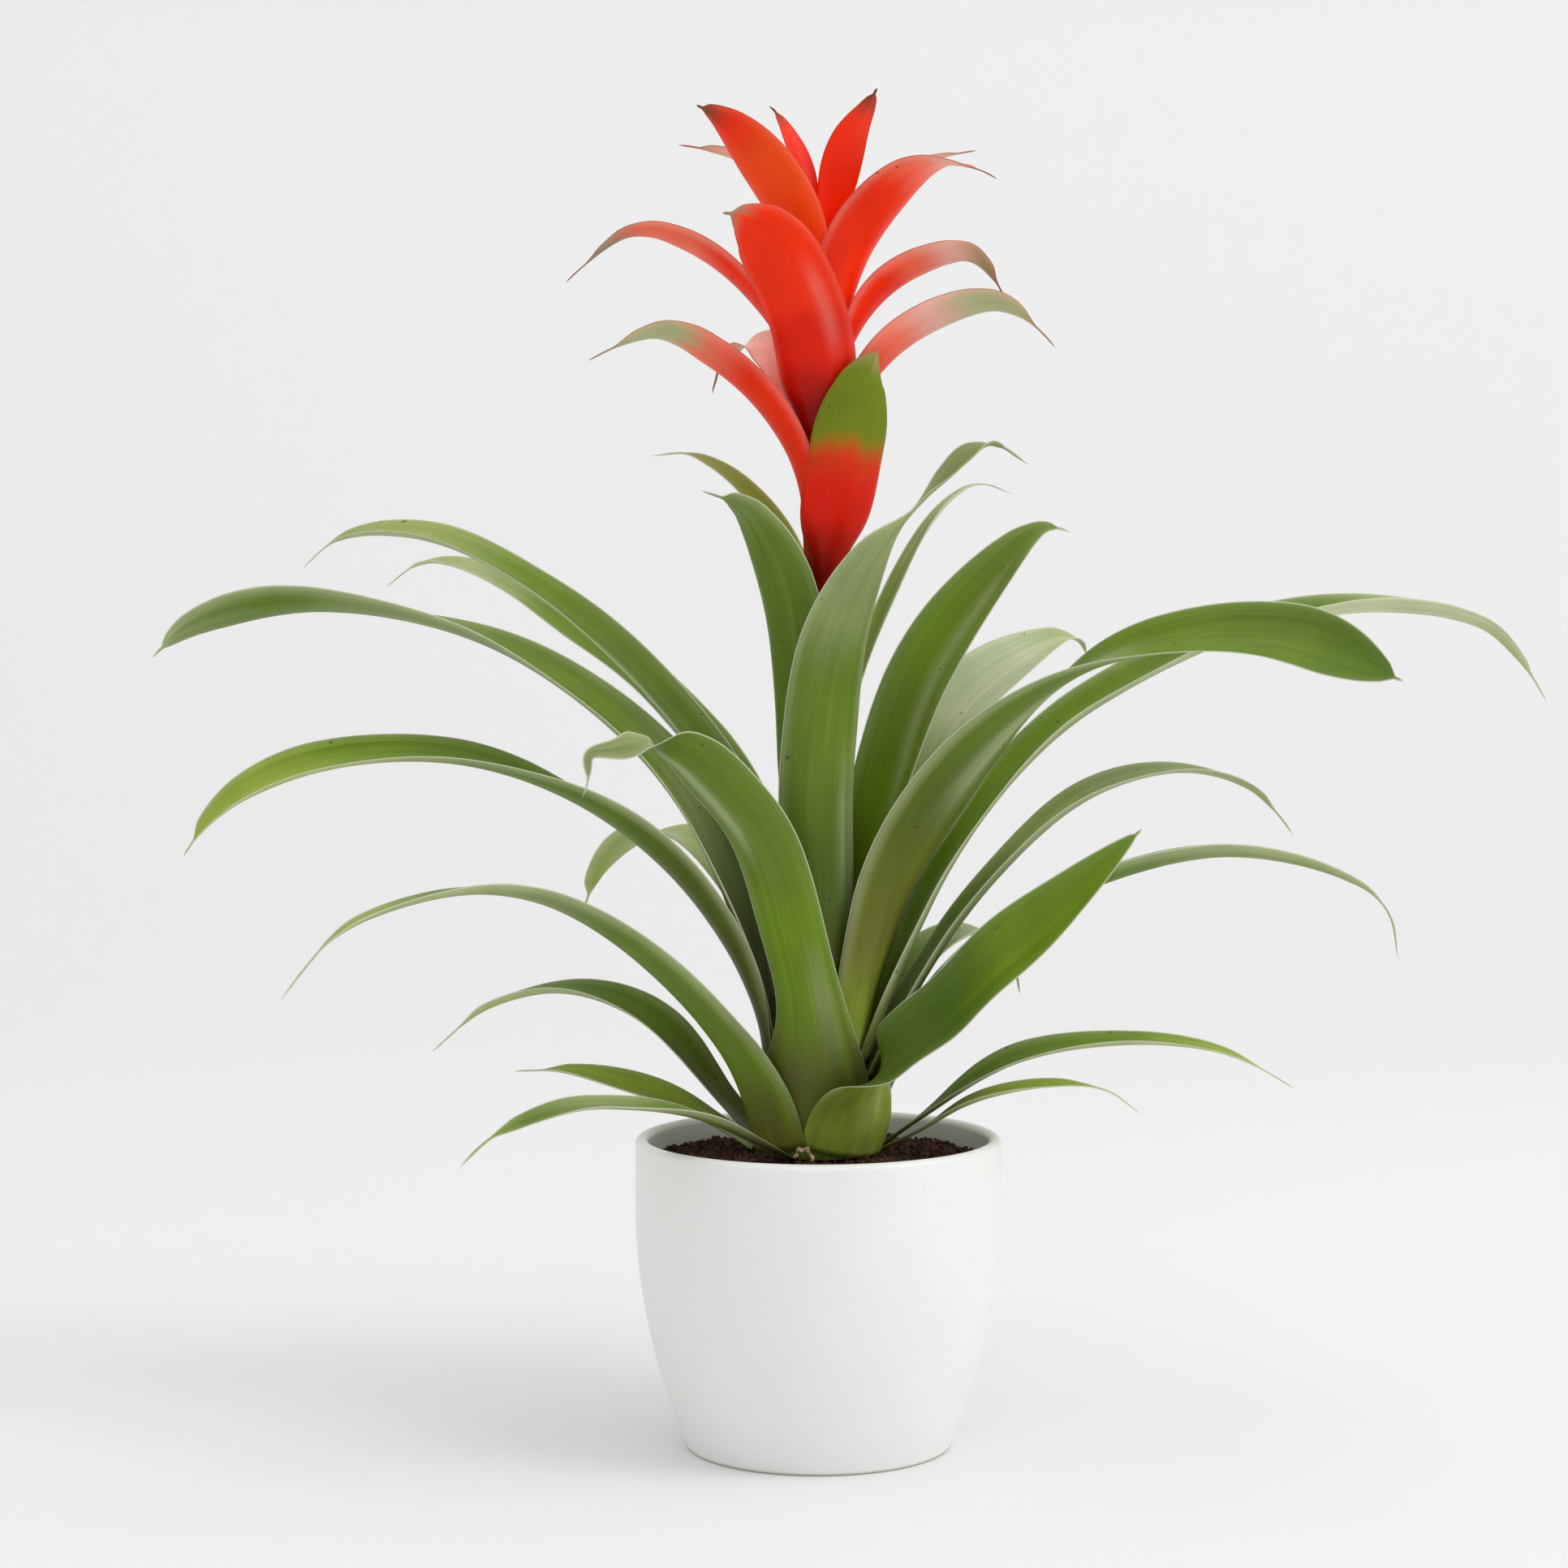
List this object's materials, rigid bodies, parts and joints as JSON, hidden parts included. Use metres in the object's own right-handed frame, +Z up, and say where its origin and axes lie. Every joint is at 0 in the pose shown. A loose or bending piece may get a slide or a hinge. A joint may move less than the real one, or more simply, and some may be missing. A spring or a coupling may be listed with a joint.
{
  "type": "potted bromeliad",
  "caption": "Flowering bromeliad with a rosette of arching strap leaves and an upright spike of red bracts, growing in soil in a round tapered white cover pot.",
  "frame": {"origin": "centre of the pot's underside, on the surface the pot stands on", "axes": "+Z up along the pot's axis; +X to the right as seen from the front; -Y towards the front, where the broad front leaf hangs over the pot"},
  "size_m": [0.5392, 0.2833, 0.52],
  "materials": {
    "pot": "smooth matte white glaze",
    "soil": "dark brown crumbly peat",
    "stem": "satin green",
    "leaf": "satin green with fine lengthwise veins, pale edges and a silvery underside",
    "bract": "satin orange-red with paler edges and brown-green tips"
  },
  "bodies": {
    "root": {"pot": "pot", "soil": "soil", "stem": "stem", "leaf_left_low_front": "leaf", "leaf_right_low_front": "leaf", "leaf_left_low_back": "leaf", "leaf_right_low": "leaf", "leaf_left_5": "leaf", "leaf_right_front": "leaf", "leaf_left_4": "leaf", "leaf_back_low_right": "leaf", "leaf_front": "leaf", "leaf_back_right_low": "leaf", "leaf_back_low_left": "leaf", "leaf_right_4": "leaf", "leaf_left_3": "leaf", "leaf_right_3": "leaf", "leaf_back_left": "leaf", "leaf_left_2": "leaf", "leaf_right_2": "leaf", "leaf_right_1": "leaf", "leaf_left_1_under": "leaf", "leaf_left_1": "leaf", "leaf_front_upright": "leaf", "leaf_back_high": "leaf", "leaf_back_right": "leaf", "leaf_right_upright": "leaf", "leaf_front_left_upright": "leaf", "leaf_back_left_upright": "leaf", "leaf_back_upright": "leaf", "bract_1_green_tipped": "bract", "bract_2": "bract", "bract_3": "bract", "bract_4": "bract", "bract_5": "bract", "bract_back": "bract", "bract_6": "bract", "bract_7": "bract", "bract_8": "bract", "bract_9": "bract", "bract_10": "bract", "bract_11": "bract", "bract_12": "bract", "bract_13": "bract"}
  },
  "joints": []
}
